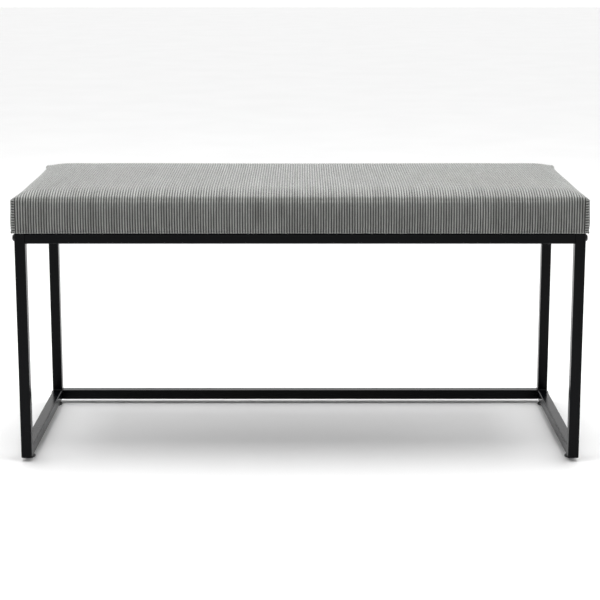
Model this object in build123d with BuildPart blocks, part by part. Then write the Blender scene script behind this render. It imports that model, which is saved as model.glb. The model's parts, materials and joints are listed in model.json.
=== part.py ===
from build123d import *

import os

# Entryway bench: two welded square-tube side frames, three cross tubes bolted between them, four
# levelling feet and an upholstered seat. Millimetres, +Z up, +X along the bench, front faces -Y.
# The origin is on the floor under the middle of the bench.

# ---- Driving sizes -------------------------------------------------------------------------

# Frame
frame_length = 1000.0  # over the outer faces of the side frames
frame_depth = 380.0  # over the outer faces of the front and rear legs
frame_height = 410.0  # underside of the bottom rails to the top of the top rails
tube = 19.0  # square tube, outside
tube_wall = 1.2
tube_corner = 2.0  # outside corner radius of the tube
weld_leg = 2.5  # size of the bead in each inner corner of a side frame
weld_bulge = 0.58  # how far out the bead's face stands, as a share of its leg, each way

# Rail bolts and the threaded plugs they run into
thread_diameter = 6.0
thread_gap = 0.05  # between a thread and what it runs in, on the radius
thread_tip_chamfer = 0.6
bolt_hole_gap = 0.3  # between a shank and a drilled hole, on the radius
bolt_length = 35.0
bolt_head_diameter = 12.0
bolt_head_height = 4.0
bolt_head_round = 2.6
socket_across_flats = 4.0
socket_depth = 2.2
plug_length = 20.0
plug_gap = 0.1  # between a plug and the inside of its tube

# Levelling feet
pad_height = 4.6
pad_diameter = 22.0
pad_rim_height = 2.4
pad_top_diameter = 17.0
pad_edge = 0.8
foot_nut_height = 1.6  # hexagon on the stem, above the pad
foot_nut_across_flats = 12.0
foot_running_gap = 0.1
foot_floor = 1.2  # plastic under the stem's head
foot_head_diameter = 9.0
foot_head_height = 2.2
foot_inset = 30.0  # leg's outer face to the middle of a foot
stem_top_gap = 0.8
insert_flange_height = 0.8
insert_flange_diameter = 13.0
insert_body_diameter = 9.0
insert_bulge_diameter = 11.0
insert_bulge_height = 2.0
insert_length = 11.0
insert_gap = 0.05

# Seat
seat_overhang = 8.0  # beyond the frame, all round
seat_thickness = 67.0
seat_corner = 12.0
seat_top_round = 10.0
seat_bottom_round = 4.0
cover_thickness = 1.6
cover_margin = 55.0  # cover turned in under the board
wadding_thickness = 4.0
board_thickness = 15.0
layer_gap = 0.2
dust_cover_thickness = 0.4
dust_cover_gap = 4.0  # dust cover to the inner faces of the frame

# Staples
staple_crown = 10.0
staple_wire = 0.5
staple_width = 1.0
staple_leg = 8.0
staple_pitch = 50.0
cover_staple_inset = 8.0  # from the cover's raw edge
dust_staple_inset = 6.0  # from the dust cover's edge

# Seat screws and T-nuts
screw_length = 35.0
screw_head_diameter = 11.0
screw_head_height = 3.2
screw_head_round = 2.2
screw_spacing = 220.0  # front to back, along each side rail
washer_diameter = 14.0
washer_thickness = 1.2
nut_flange_diameter = 18.0
nut_flange_thickness = 1.3
nut_barrel_diameter = 8.0
nut_length = 9.0
nut_prong_length = 6.0
nut_prong_width = 3.0
nut_prong_thickness = 0.8
nut_prongs = 4
nut_gap = 0.1

# ---- Places that follow from the driving sizes ---------------------------------------------

frame_bottom = pad_height + foot_nut_height + insert_flange_height
frame_top = frame_bottom + frame_height
side_x = frame_length / 2 - tube / 2
leg_y = frame_depth / 2 - tube / 2
foot_y = frame_depth / 2 - foot_inset
top_rail_z = frame_top - tube / 2
bottom_rail_z = frame_bottom + tube / 2
mid_frame_z = frame_bottom + frame_height / 2
tube_bore = tube - 2 * tube_wall
bore_corner = tube_corner - tube_wall
cross_length = frame_length - 2 * tube

thread_radius = thread_diameter / 2
tapped_radius = thread_radius + thread_gap
drilled_radius = thread_radius + bolt_hole_gap

seat_length = frame_length + 2 * seat_overhang
seat_depth = frame_depth + 2 * seat_overhang
seat_bottom = frame_top
seat_top = seat_bottom + seat_thickness
cover_inside = cover_thickness + layer_gap
padding_inside = cover_inside + wadding_thickness + layer_gap
board_bottom = seat_bottom + cover_inside
board_top = board_bottom + board_thickness
foam_bottom = board_top + layer_gap
foam_top = seat_top - padding_inside
screw_seat_z = frame_top - tube

sides = {"left": -1, "right": 1}
ends = {"front": -1, "rear": 1}

front_top = (leg_y * ends["front"], top_rail_z)
rear_top = (leg_y * ends["rear"], top_rail_z)
rear_bottom = (leg_y * ends["rear"], bottom_rail_z)
cross_tubes = {"front_rail": front_top, "rear_rail": rear_top, "rear_stretcher": rear_bottom}

os.makedirs("parts", exist_ok=True)


def save(piece, label):
    """Label a finished piece and write it as one STEP file."""
    piece.part.label = label
    export_step(piece.part, f"parts/{label}.step")


# ---- Frame tubes ---------------------------------------------------------------------------


def square_tube(centre, across, along, length):
    """A straight length of the square tube, centred on a point, one side facing across."""
    with BuildPart() as stock:
        with BuildSketch(Plane(origin=centre, x_dir=across, z_dir=along)):
            RectangleRounded(tube, tube, tube_corner)
            RectangleRounded(tube_bore, tube_bore, bore_corner, mode=Mode.SUBTRACT)
        extrude(amount=length / 2, both=True)
    return stock


def frame_member(side, centre, along, outward, length, drilled):
    """A side-frame tube, mitred at both ends, with bolt holes across it along X."""
    stock = square_tube(centre, Vector(1, 0, 0), along, length)
    with BuildPart() as member:
        add(stock)
        for end in (along, -along):
            corner = centre + end * (length / 2) + outward * (tube / 2)
            split(bisect_by=Plane(origin=corner, z_dir=end - outward), keep=Keep.BOTTOM)
        with Locations(*[(side * side_x, y, z) for y, z in drilled]):
            Cylinder(drilled_radius, tube, rotation=(0, 90, 0), mode=Mode.SUBTRACT)
    return member


def side_frame(name, side):
    """The four mitred tubes of one side frame and the beads that weld them."""
    x = side * side_x
    corners = (front_top, rear_top, rear_bottom)

    for end, direction in ends.items():
        outward = Vector(0, direction, 0)
        centre = Vector(x, direction * leg_y, mid_frame_z)
        drilled = [(y, z) for y, z in corners if y * direction > 0]
        leg = frame_member(side, centre, Vector(0, 0, 1), outward, frame_height, drilled)
        save(leg, f"{name}_{end}_leg")

    top = frame_member(
        side, Vector(x, 0, top_rail_z), Vector(0, 1, 0), Vector(0, 0, 1), frame_depth,
        [front_top, rear_top],
    )
    with BuildPart() as top_rail:
        add(top)
        with Locations((x, screw_spacing / 2, top_rail_z), (x, -screw_spacing / 2, top_rail_z)):
            Cylinder(drilled_radius, tube, mode=Mode.SUBTRACT)
    save(top_rail, f"{name}_top_rail")

    bottom = frame_member(
        side, Vector(x, 0, bottom_rail_z), Vector(0, 1, 0), Vector(0, 0, -1), frame_depth,
        [rear_bottom],
    )
    with BuildPart() as bottom_rail:
        add(bottom)
        with Locations((x, foot_y, frame_bottom), (x, -foot_y, frame_bottom)):
            Cylinder(insert_body_diameter / 2 + insert_gap, 2 * tube_wall, mode=Mode.SUBTRACT)
    save(bottom_rail, f"{name}_bottom_rail")

    bead_crown = (weld_leg * weld_bulge, weld_leg * weld_bulge)
    with BuildPart() as welds:
        for across in (-1, 1):
            for up in (-1, 1):
                y = across * (leg_y - tube / 2)
                z = mid_frame_z + up * (frame_height / 2 - tube)
                inward = Vector(0, -across, 0)
                facing = Vector(across * up, 0, 0)
                with BuildSketch(Plane(origin=(x, y, z), x_dir=inward, z_dir=facing)):
                    with BuildLine():
                        Line((0, 0), (weld_leg, 0))
                        ThreePointArc((weld_leg, 0), bead_crown, (0, weld_leg))
                        Line((0, weld_leg), (0, 0))
                    make_face()
                extrude(amount=tube / 2 - tube_corner, both=True)
    save(welds, f"{name}_frame_welds")


for name, side in sides.items():
    side_frame(name, side)

# ---- Cross tubes, their plugs and bolts ----------------------------------------------------


def domed_screw(length, head_diameter, head_height, head_round):
    """A socket-head screw, head up: its head stands on z = 0 and its shank hangs below."""
    with BuildPart() as screw:
        with BuildSketch(Plane.XY):
            Circle(head_diameter / 2)
        extrude(amount=head_height)
        fillet(screw.faces().sort_by(Axis.Z)[-1].edges(), head_round)
        with BuildSketch(Plane.XY):
            Circle(thread_radius)
        extrude(amount=-length)
        chamfer(screw.faces().sort_by(Axis.Z)[0].edges(), thread_tip_chamfer)
        with BuildSketch(Plane.XY.offset(head_height)):
            RegularPolygon(socket_across_flats / 2, 6, major_radius=False)
        extrude(amount=-socket_depth, mode=Mode.SUBTRACT)
    return screw


with BuildPart() as end_plug:
    with BuildSketch(Plane.XY):
        RectangleRounded(tube_bore - 2 * plug_gap, tube_bore - 2 * plug_gap, bore_corner)
        Circle(tapped_radius, mode=Mode.SUBTRACT)
    extrude(amount=plug_length)

rail_bolt = domed_screw(bolt_length, bolt_head_diameter, bolt_head_height, bolt_head_round)

for name, (y, z) in cross_tubes.items():
    rail = square_tube(Vector(0, y, z), Vector(0, 1, 0), Vector(1, 0, 0), cross_length)
    save(rail, name)

    with BuildPart() as plugs:
        with Locations(Location((-cross_length / 2, y, z), (0, 90, 0))):
            add(end_plug)
        with Locations(Location((cross_length / 2, y, z), (0, -90, 0))):
            add(end_plug)
    save(plugs, f"{name}_end_plugs")

    with BuildPart() as bolts:
        with Locations(Location((-frame_length / 2, y, z), (0, -90, 0))):
            add(rail_bolt)
        with Locations(Location((frame_length / 2, y, z), (0, 90, 0))):
            add(rail_bolt)
    save(bolts, f"{name}_bolts")

# ---- Levelling feet ------------------------------------------------------------------------

head_bottom = foot_floor + foot_running_gap
head_top = head_bottom + foot_head_height
nut_bottom = pad_height + foot_running_gap
nut_top = pad_height + foot_nut_height
stem_top = frame_bottom + tube - tube_wall - stem_top_gap

with BuildPart() as pad:
    with BuildSketch(Plane.XZ):
        with BuildLine():
            Polyline(
                (0, 0), (pad_diameter / 2, 0), (pad_diameter / 2, pad_rim_height),
                (pad_top_diameter / 2, pad_height), (0, pad_height), close=True,
            )
        make_face()
    revolve(axis=Axis.Z)
    fillet(pad.edges().filter_by(GeomType.CIRCLE), pad_edge)
    with BuildSketch(Plane.XY.offset(foot_floor)):
        Circle(foot_head_diameter / 2 + foot_running_gap)
    extrude(amount=foot_head_height + 2 * foot_running_gap, mode=Mode.SUBTRACT)
    with BuildSketch(Plane.XY.offset(head_top)):
        Circle(tapped_radius)
    extrude(amount=pad_height - head_top, mode=Mode.SUBTRACT)

with BuildPart() as stem:
    with BuildSketch(Plane.XY.offset(head_bottom)):
        Circle(foot_head_diameter / 2)
    extrude(amount=foot_head_height)
    with BuildSketch(Plane.XY.offset(head_bottom)):
        Circle(thread_radius)
    extrude(amount=stem_top - head_bottom)
    chamfer(stem.faces().sort_by(Axis.Z)[-1].edges(), thread_tip_chamfer)
    with BuildSketch(Plane.XY.offset(nut_bottom)):
        RegularPolygon(foot_nut_across_flats / 2, 6, major_radius=False)
    extrude(amount=nut_top - nut_bottom)

with BuildPart() as insert:
    with BuildSketch(Plane.XY.offset(nut_top)):
        Circle(insert_flange_diameter / 2)
    extrude(amount=insert_flange_height)
    with BuildSketch(Plane.XY.offset(frame_bottom)):
        Circle(insert_body_diameter / 2)
    extrude(amount=insert_length)
    with BuildSketch(Plane.XY.offset(frame_bottom + tube_wall)):
        Circle(insert_bulge_diameter / 2)
    extrude(amount=insert_bulge_height)
    with BuildSketch(Plane.XY.offset(nut_top)):
        Circle(tapped_radius)
    extrude(amount=insert_flange_height + insert_length, mode=Mode.SUBTRACT)

foot_places = {
    f"{end}_{name}": (side * side_x, direction * foot_y)
    for end, direction in ends.items()
    for name, side in sides.items()
}

for place, (x, y) in foot_places.items():
    with BuildPart() as foot_pad:
        with Locations((x, y)):
            add(pad)
    save(foot_pad, f"{place}_foot_pad")

    with BuildPart() as foot_stem:
        with Locations((x, y)):
            add(stem)
    save(foot_stem, f"{place}_foot_stem")

with BuildPart() as foot_inserts:
    with Locations(*foot_places.values()):
        add(insert)
save(foot_inserts, "foot_inserts")

# ---- Seat ----------------------------------------------------------------------------------


def seat_layer(inset, bottom, top, bottom_round):
    """A block of the seat's outline, inset all round, rounded over its top and bottom edges."""
    with BuildPart() as layer:
        with BuildSketch(Plane.XY.offset(bottom)):
            RectangleRounded(seat_length - 2 * inset, seat_depth - 2 * inset, seat_corner - inset)
        extrude(amount=top - bottom)
        fillet(layer.faces().sort_by(Axis.Z)[-1].edges(), seat_top_round - inset)
        if bottom_round > 0:
            fillet(layer.faces().sort_by(Axis.Z)[0].edges(), bottom_round)
    return layer


screw_places = [
    (side * side_x, direction * screw_spacing / 2)
    for side in sides.values()
    for direction in ends.values()
]

cover_outside = seat_layer(0, seat_bottom, seat_top, seat_bottom_round)
cover_hollow = seat_layer(
    cover_inside - layer_gap, seat_bottom + cover_thickness, seat_top - cover_thickness,
    seat_bottom_round - cover_thickness,
)
with BuildPart() as cover:
    add(cover_outside)
    add(cover_hollow, mode=Mode.SUBTRACT)
    with BuildSketch(Plane.XY.offset(seat_bottom)):
        Rectangle(seat_length - 2 * cover_margin, seat_depth - 2 * cover_margin)
    extrude(amount=cover_thickness, mode=Mode.SUBTRACT)
    with BuildSketch(Plane.XY.offset(seat_bottom)):
        with Locations(*screw_places):
            Circle(nut_barrel_diameter / 2)
    extrude(amount=cover_thickness, mode=Mode.SUBTRACT)
save(cover, "seat_cover")

wadding_bottom = board_bottom + seat_bottom_round
wadding_outside = seat_layer(cover_inside, wadding_bottom, seat_top - cover_inside, 0)
wadding_hollow = seat_layer(padding_inside - layer_gap, wadding_bottom, foam_top + layer_gap, 0)
with BuildPart() as wadding:
    add(wadding_outside)
    add(wadding_hollow, mode=Mode.SUBTRACT)
save(wadding, "seat_wadding")

foam = seat_layer(padding_inside, foam_bottom, foam_top, 0)
save(foam, "seat_foam")

with BuildPart() as board:
    with BuildSketch(Plane.XY.offset(board_bottom)):
        RectangleRounded(
            seat_length - 2 * padding_inside, seat_depth - 2 * padding_inside,
            seat_corner - padding_inside,
        )
        with Locations(*screw_places):
            Circle(nut_barrel_diameter / 2 + nut_gap, mode=Mode.SUBTRACT)
    extrude(amount=board_thickness)
    with BuildSketch(Plane.XY.offset(board_top)):
        with Locations(*screw_places):
            Circle(nut_flange_diameter / 2 + nut_gap)
    extrude(amount=-nut_flange_thickness, mode=Mode.SUBTRACT)
save(board, "seat_board")

dust_length = cross_length - 2 * dust_cover_gap
dust_depth = frame_depth - 2 * tube - 2 * dust_cover_gap
with BuildPart() as dust_cover:
    with BuildSketch(Plane.XY.offset(seat_bottom)):
        Rectangle(dust_length, dust_depth)
    extrude(amount=-dust_cover_thickness)
save(dust_cover, "dust_cover")

# ---- Staples -------------------------------------------------------------------------------


def staple(crown_bottom, turned):
    """A staple driven upwards, its crown's underside at the given height."""
    reach = staple_crown / 2 - staple_wire / 2
    with BuildPart() as one:
        with BuildSketch(Plane.XY.offset(crown_bottom)):
            Rectangle(staple_crown, staple_width)
        extrude(amount=staple_wire)
        with BuildSketch(Plane.XY.offset(crown_bottom)):
            with Locations((-reach, 0), (reach, 0)):
                Rectangle(staple_wire, staple_width)
        extrude(amount=staple_leg)
    return one.part.rotate(Axis.Z, 90) if turned else one.part


def staple_ring(length, depth, crown_bottom):
    """Staples along all four sides of a rectangle, evenly spaced at about the staple pitch."""
    along = round((length - staple_pitch) / staple_pitch)
    across = round((depth - staple_pitch) / staple_pitch)
    long_way = staple(crown_bottom, turned=False)
    short_way = staple(crown_bottom, turned=True)
    with BuildPart() as ring:
        with GridLocations((length - staple_pitch) / (along - 1), depth, along, 2):
            add(long_way)
        with GridLocations(length, (depth - staple_pitch) / (across - 1), 2, across):
            add(short_way)
    return ring


raw_edge_length = seat_length - 2 * cover_margin
raw_edge_depth = seat_depth - 2 * cover_margin
cover_staples = staple_ring(
    raw_edge_length + 2 * cover_staple_inset, raw_edge_depth + 2 * cover_staple_inset, seat_bottom
)
save(cover_staples, "cover_staples")

dust_cover_staples = staple_ring(
    dust_length - 2 * dust_staple_inset, dust_depth - 2 * dust_staple_inset,
    seat_bottom - dust_cover_thickness - staple_wire,
)
save(dust_cover_staples, "dust_cover_staples")

# ---- Seat screws, washers and T-nuts -------------------------------------------------------

seat_screw = domed_screw(screw_length, screw_head_diameter, screw_head_height, screw_head_round)
with BuildPart() as seat_screws:
    for x, y in screw_places:
        with Locations(Location((x, y, screw_seat_z - washer_thickness), (180, 0, 0))):
            add(seat_screw)
save(seat_screws, "seat_screws")

with BuildPart() as seat_washers:
    with BuildSketch(Plane.XY.offset(screw_seat_z)):
        with Locations(*screw_places):
            Circle(washer_diameter / 2)
            Circle(drilled_radius, mode=Mode.SUBTRACT)
    extrude(amount=-washer_thickness)
save(seat_washers, "seat_screw_washers")

prong_ring = nut_flange_diameter / 2 - nut_prong_thickness
with BuildPart() as t_nut:
    with BuildSketch(Plane.XY.offset(board_top)):
        Circle(nut_flange_diameter / 2)
    extrude(amount=-nut_flange_thickness)
    with BuildSketch(Plane.XY.offset(board_top)):
        Circle(nut_barrel_diameter / 2)
    extrude(amount=-nut_length)
    with BuildSketch(Plane.XY.offset(board_top)):
        with PolarLocations(prong_ring, nut_prongs):
            Rectangle(nut_prong_thickness, nut_prong_width)
    extrude(amount=-nut_prong_length)
    with BuildSketch(Plane.XY.offset(board_top)):
        Circle(tapped_radius)
    extrude(amount=-nut_length, mode=Mode.SUBTRACT)

with BuildPart() as t_nuts:
    with Locations(*screw_places):
        add(t_nut)
save(t_nuts, "seat_t_nuts")
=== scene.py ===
"""Entryway bench: finishes, upholstery and levelling-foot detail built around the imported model."""

import json
import logging
import math
from dataclasses import dataclass, field
from enum import Enum

import bmesh
import bpy
import numpy as np
from mathutils import Matrix, Vector, noise
from mathutils.bvhtree import BVHTree


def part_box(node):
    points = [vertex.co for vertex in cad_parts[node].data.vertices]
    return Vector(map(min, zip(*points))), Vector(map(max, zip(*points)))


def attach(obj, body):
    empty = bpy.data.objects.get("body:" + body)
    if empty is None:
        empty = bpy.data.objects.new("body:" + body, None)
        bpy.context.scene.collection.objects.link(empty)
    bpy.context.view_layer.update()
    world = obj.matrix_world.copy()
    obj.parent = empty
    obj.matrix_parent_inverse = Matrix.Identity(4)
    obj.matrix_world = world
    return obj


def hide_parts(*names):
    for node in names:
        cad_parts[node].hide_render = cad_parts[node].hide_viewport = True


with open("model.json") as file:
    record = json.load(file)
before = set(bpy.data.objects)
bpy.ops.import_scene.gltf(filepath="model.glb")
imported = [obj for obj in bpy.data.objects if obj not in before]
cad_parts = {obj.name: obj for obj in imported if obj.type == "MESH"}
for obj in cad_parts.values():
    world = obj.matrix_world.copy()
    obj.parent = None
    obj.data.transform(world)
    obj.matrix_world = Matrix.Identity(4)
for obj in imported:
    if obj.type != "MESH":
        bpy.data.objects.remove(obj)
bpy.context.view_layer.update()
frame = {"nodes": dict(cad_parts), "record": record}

log = logging.getLogger("bench")
MM = 0.001
Triple = tuple[float, float, float]
Socket = bpy.types.NodeSocket
Material = bpy.types.Material
Piece = bpy.types.Object
Shape = bmesh.types.BMesh


# ---- Shader helpers ----


class NodeBoard:
    """One material and the nodes laid out on it."""

    def __init__(self, name: str) -> None:
        """Start an empty material.

        Args:
            name: name of the material.
        """
        self.material = bpy.data.materials.new(name)
        self.material.use_nodes = True
        self.tree = self.material.node_tree
        self.tree.nodes.clear()

    def node(self, kind: str, inputs: dict | None = None, **settings: object) -> bpy.types.Node:
        """Add a node, set its options and feed its inputs.

        Args:
            kind: node type without the ShaderNode prefix.
            inputs: socket name or number to a value or another node's output.
            settings: the node's own options.

        Returns:
            The new node.
        """
        made = self.tree.nodes.new("ShaderNode" + kind)
        for option, value in settings.items():
            setattr(made, option, value)
        for key, value in (inputs or {}).items():
            if isinstance(value, Socket):
                self.tree.links.new(value, made.inputs[key])
            else:
                made.inputs[key].default_value = value
        return made

    def place(self, scale: Triple = (1.0, 1.0, 1.0)) -> Socket:
        """Object coordinates, stretched by a scale."""
        where = self.node("TexCoord").outputs["Object"]
        return self.node("Mapping", {"Vector": where, "Scale": scale}).outputs["Vector"]

    def cloth_place(self, scale: Triple) -> Socket:
        """The piece's own cloth coordinates in metres, stretched by a scale."""
        where = self.node("UVMap", uv_map="cloth").outputs["UV"]
        return self.node("Mapping", {"Vector": where, "Scale": scale}).outputs["Vector"]

    def grain(
        self, vector: Socket, scale: float, detail: float = 2.0, rough: float = 0.5
    ) -> Socket:
        """Fractal noise around a half, with some octaves and the share each finer one keeps."""
        inputs = {"Vector": vector, "Scale": scale, "Detail": detail, "Roughness": rough}
        return self.node("TexNoise", inputs).outputs["Fac"]

    def cells(self, vector: Socket, scale: float, jitter: float = 1.0) -> Socket:
        """Distance to the middle of the nearest cell, more or less out of line."""
        inputs = {"Vector": vector, "Scale": scale, "Randomness": jitter}
        return self.node("TexVoronoi", inputs).outputs["Distance"]

    def up(self, vector: Socket) -> Socket:
        """The height part of a vector."""
        return self.node("SeparateXYZ", {0: vector}).outputs["Z"]

    def spread(
        self, value: Socket, low: float, high: float, to_low: float, to_high: float
    ) -> Socket:
        """Map the range from low to high onto another one, clamped."""
        inputs = {"Value": value, 1: low, 2: high, 3: to_low, 4: to_high}
        return self.node("MapRange", inputs, clamp=True).outputs["Result"]

    def sum(self, a: object, b: object, operation: str = "ADD") -> Socket:
        """Two values joined by a math operation."""
        return self.node("Math", {0: a, 1: b}, operation=operation).outputs[0]

    def grey(self, value: Socket) -> Socket:
        """A grey as bright as a value."""
        return self.node("CombineColor", {0: value, 1: value, 2: value}).outputs[0]

    def blend(self, share: object, a: object, b: object, how: str = "MIX") -> Socket:
        """Mix two colours.

        Args:
            share: how much of the second one.
            a: first colour.
            b: second colour.
            how: blend type.

        Returns:
            The mixed colour.
        """
        made = self.node("Mix", data_type="RGBA", blend_type=how)
        for socket, value in ((made.inputs[0], share), (made.inputs[6], a), (made.inputs[7], b)):
            if isinstance(value, Socket):
                self.tree.links.new(value, socket)
            else:
                socket.default_value = value
        return made.outputs[2]

    def bump(
        self, height: Socket, depth: float, strength: float = 1.0,
        over: Socket | None = None,
    ) -> Socket:
        """Surface relief from a height.

        Args:
            height: the relief, 0 to 1.
            depth: how deep it is, in metres.
            strength: how much of it shows.
            over: a coarser normal that it lies on.

        Returns:
            The bent normal.
        """
        inputs = {"Height": height, "Distance": depth, "Strength": strength}
        inputs |= {"Normal": over} if over is not None else {}
        return self.node("Bump", inputs).outputs["Normal"]

    def finish(self, inputs: dict) -> Material:
        """Close the material with its surface shader.

        Args:
            inputs: the Principled shader's sockets.

        Returns:
            The material.
        """
        shader = self.node("BsdfPrincipled", inputs)
        end = self.node("OutputMaterial")
        self.tree.links.new(shader.outputs["BSDF"], end.inputs["Surface"])
        return self.material


def shade(
    red: float, green: float, blue: float, by: float = 1.0
) -> tuple[float, float, float, float]:
    """A linear colour, dimmed or lifted by a factor."""
    return (red * by, green * by, blue * by, 1.0)


# ---- Finishes ----


@dataclass(frozen=True)
class PowderCoat:
    """Satin black powder coat: fine orange peel, faint dust in the gloss, thinner on the edges."""

    name: str = "powder_coat"
    colour: Triple = (0.0014, 0.0017, 0.0023)
    worn: Triple = (0.007, 0.008, 0.010)
    roughness: float = 0.22
    peel_scale: float = 520.0
    peel_depth: float = 0.00009
    ripple_scale: float = 0.0
    ripple_depth: float = 0.0005
    edge_radius: float = 0.0012
    specular: float = 0.09

    def make(self) -> Material:
        """Build the material."""
        board = NodeBoard(self.name)
        here = board.place()
        cloud = board.grain(here, 9.0, 3.0)
        speck = board.grain(here, 1900.0, 1.0)
        peel = board.grain(here, self.peel_scale, 2.0)
        edge = board.node("Bevel", {"Radius": self.edge_radius}, samples=4).outputs["Normal"]
        flat = board.node("NewGeometry").outputs["Normal"]
        turn = board.node("VectorMath", {0: edge, 1: flat}, operation="DOT_PRODUCT")
        rub = board.sum(
            board.spread(turn.outputs["Value"], 0.985, 0.80, 0.0, 0.75),
            board.spread(cloud, 0.35, 0.65, 0.25, 1.0), "MULTIPLY",
        )
        body = board.blend(cloud, shade(*self.colour), shade(*self.colour, by=1.5))
        colour = board.blend(rub, body, shade(*self.worn))
        gloss = board.spread(
            board.sum(cloud, board.sum(speck, 0.35, "MULTIPLY")), 0.4, 0.95,
            self.roughness - 0.05, self.roughness + 0.09,
        )
        relief = board.bump(peel, self.peel_depth, 0.5)
        if self.ripple_scale > 0:
            inputs = {"Vector": here, "Scale": self.ripple_scale, "Distortion": 1.5, "Detail": 1.0}
            ripple = board.node("TexWave", inputs, bands_direction="X").outputs["Fac"]
            relief = board.bump(ripple, self.ripple_depth, 0.8, relief)
        return board.finish({
            "Base Color": colour, "Roughness": gloss, "Specular IOR Level": self.specular,
            "Normal": relief,
        })


@dataclass(frozen=True)
class PlatedSteel:
    """A metal finish with cloudy plating and fine drawn marks."""

    name: str
    colour: Triple
    roughness: float
    metal: float = 1.0
    tint: Triple = (0.97, 0.95, 0.86)
    drawn: Triple = (40.0, 900.0, 900.0)
    mark_depth: float = 0.00003

    def make(self) -> Material:
        """Build the material."""
        board = NodeBoard(self.name)
        cloud = board.grain(board.place(), 60.0, 3.0)
        marks = board.grain(board.place(self.drawn), 1.0, 3.0, 0.6)
        stain = tuple(c * t for c, t in zip(self.colour, self.tint))
        stained = board.spread(cloud, 0.4, 0.65, 0.0, 1.0)
        marked = board.spread(marks, 0.3, 0.7, 0.0, 0.25)
        colour = board.blend(stained, shade(*self.colour), shade(*stain))
        colour = board.blend(marked, colour, shade(*self.colour, by=0.6))
        gloss = board.spread(marks, 0.3, 0.7, self.roughness - 0.07, self.roughness + 0.1)
        relief = board.bump(marks, self.mark_depth, 0.4)
        return board.finish({
            "Base Color": colour, "Metallic": self.metal, "Roughness": gloss, "Normal": relief,
        })


@dataclass(frozen=True)
class MouldedPlastic:
    """Matt black moulded plastic with a spark-eroded grain and scuffs near the floor."""

    name: str = "foot_plastic"
    colour: Triple = (0.014, 0.014, 0.015)
    scuffed: Triple = (0.09, 0.088, 0.085)
    scuff_height: float = 3 * MM
    grain_scale: float = 1400.0
    grain_depth: float = 0.00008

    def make(self) -> Material:
        """Build the material."""
        board = NodeBoard(self.name)
        here = board.place()
        pits = board.cells(here, self.grain_scale)
        scuff = board.grain(board.place((300.0, 300.0, 1500.0)), 1.0, 3.0, 0.7)
        near_floor = board.spread(board.up(here), 0.0, self.scuff_height, 1.0, 0.0)
        rubbed = board.sum(near_floor, board.spread(scuff, 0.5, 0.7, 0.0, 0.8), "MULTIPLY")
        colour = board.blend(rubbed, shade(*self.colour), shade(*self.scuffed))
        gloss = board.spread(scuff, 0.3, 0.7, 0.52, 0.72)
        relief = board.bump(pits, self.grain_depth, 0.5)
        return board.finish({"Base Color": colour, "Roughness": gloss, "Normal": relief})


@dataclass(frozen=True)
class PlyBoard:
    """Poplar plywood: long grain on the faces, stacked plies on the cut edges."""

    name: str = "plywood_faces_and_plies"
    light: Triple = (0.60, 0.43, 0.26)
    dark: Triple = (0.36, 0.22, 0.11)
    ply: float = 3 * MM
    pore_depth: float = 0.0002

    def make(self) -> Material:
        """Build the material."""
        board = NodeBoard(self.name)
        figure = board.grain(board.place((3.0, 60.0, 60.0)), 1.0, 4.0, 0.6)
        pores = board.grain(board.place((40.0, 1500.0, 1500.0)), 1.0, 2.0, 0.6)
        banded = board.spread(figure, 0.35, 0.65, 0.0, 1.0)
        open_pores = board.spread(pores, 0.55, 0.75, 0.0, 0.5)
        face = board.blend(banded, shade(*self.light), shade(*self.dark))
        face = board.blend(open_pores, face, shade(*self.dark, by=0.6))
        plies = board.sum(board.up(board.place()), 1.0 / (2 * self.ply), "MULTIPLY")
        layer = board.sum(plies, 1.0, "FRACT")
        stack = board.spread(layer, 0.45, 0.55, 0.0, 1.0)
        fibre = board.grain(board.place((700.0, 700.0, 300.0)), 1.0, 2.0)
        edge = board.blend(stack, shade(*self.light, by=0.9), shade(*self.dark, by=0.8))
        edge = board.blend(board.spread(fibre, 0.4, 0.7, 0.0, 0.4), edge, shade(*self.dark, by=0.6))
        up = board.up(board.node("NewGeometry").outputs["Normal"])
        flat = board.spread(board.sum(up, 0.0, "ABSOLUTE"), 0.4, 0.6, 0.0, 1.0)
        colour = board.blend(flat, edge, face)
        gloss = board.spread(pores, 0.3, 0.7, 0.55, 0.75)
        relief = board.bump(pores, self.pore_depth, 0.4)
        return board.finish({"Base Color": colour, "Roughness": gloss, "Normal": relief})


@dataclass(frozen=True)
class OpenFoam:
    """Cream polyurethane foam with open cells, painted darker in their hollows as shade."""

    name: str = "open_cell_foam"
    colour: Triple = (0.80, 0.74, 0.52)
    cell_depth: float = 0.0006
    hollow_depth: float = 0.0005

    def make(self) -> Material:
        """Build the material."""
        board = NodeBoard(self.name)
        here = board.place()
        cells = board.cells(here, 900.0)
        large = board.cells(here, 240.0)
        # Painted shade: each open cell darkens towards its middle, where the hollow is.
        depth = board.spread(cells, 0.1, 0.6, 0.0, 1.0)
        colour = board.blend(depth, shade(*self.colour, by=0.6), shade(*self.colour))
        colour = board.blend(board.grain(here, 14.0), colour, shade(*self.colour, by=0.88))
        hollows = board.bump(large, self.hollow_depth, 0.5)
        relief = board.bump(cells, self.cell_depth, 0.8, hollows)
        return board.finish({"Base Color": colour, "Roughness": 0.95, "Normal": relief})


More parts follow.
